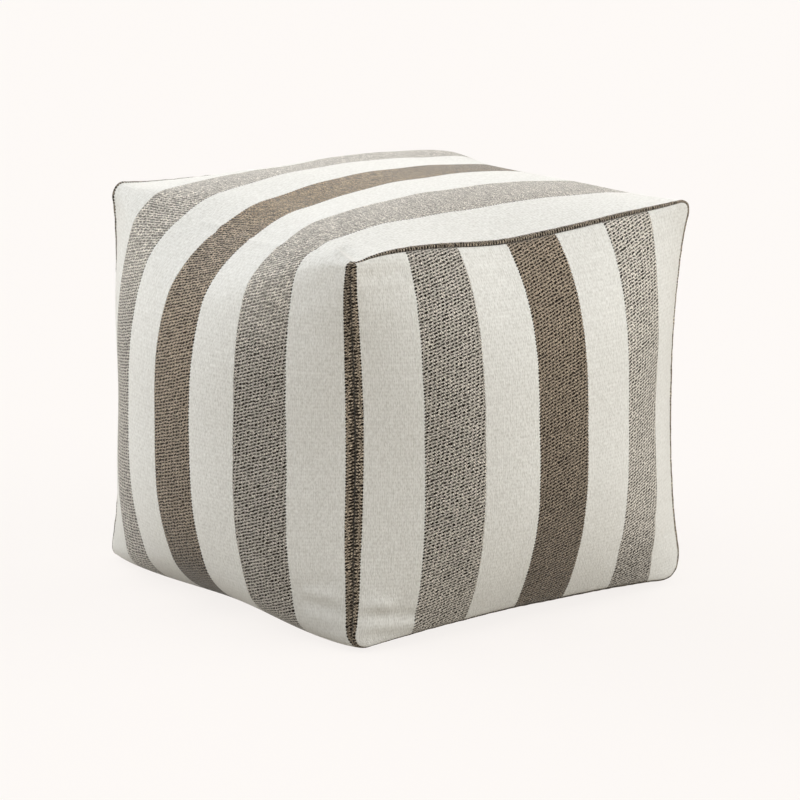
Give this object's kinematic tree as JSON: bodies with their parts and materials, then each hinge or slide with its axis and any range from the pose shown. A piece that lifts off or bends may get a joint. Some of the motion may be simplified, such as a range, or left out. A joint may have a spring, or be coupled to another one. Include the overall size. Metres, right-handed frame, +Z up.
{
  "type": "cube pouf stool",
  "caption": "Soft filled cube pouf: a striped cloth band wraps sides, top and base, with two striped end panels sewn into its open sides.",
  "frame": {"origin": "centre of the base, on the surface that the pouf stands on", "axes": "+Z up; X across the end panels; the end panels face -Y and +Y; the band goes round the Y axis"},
  "size_m": [0.5709, 0.5684, 0.4306],
  "materials": {
    "striped_cloth": "heavy flat-woven cloth in off-white, marled grey and marled brown stripes, with a narrow dark stripe along each edge"
  },
  "bodies": {
    "root": {"filled_band": "striped_cloth", "end_panel_front": "striped_cloth", "end_panel_back": "striped_cloth"}
  },
  "joints": []
}
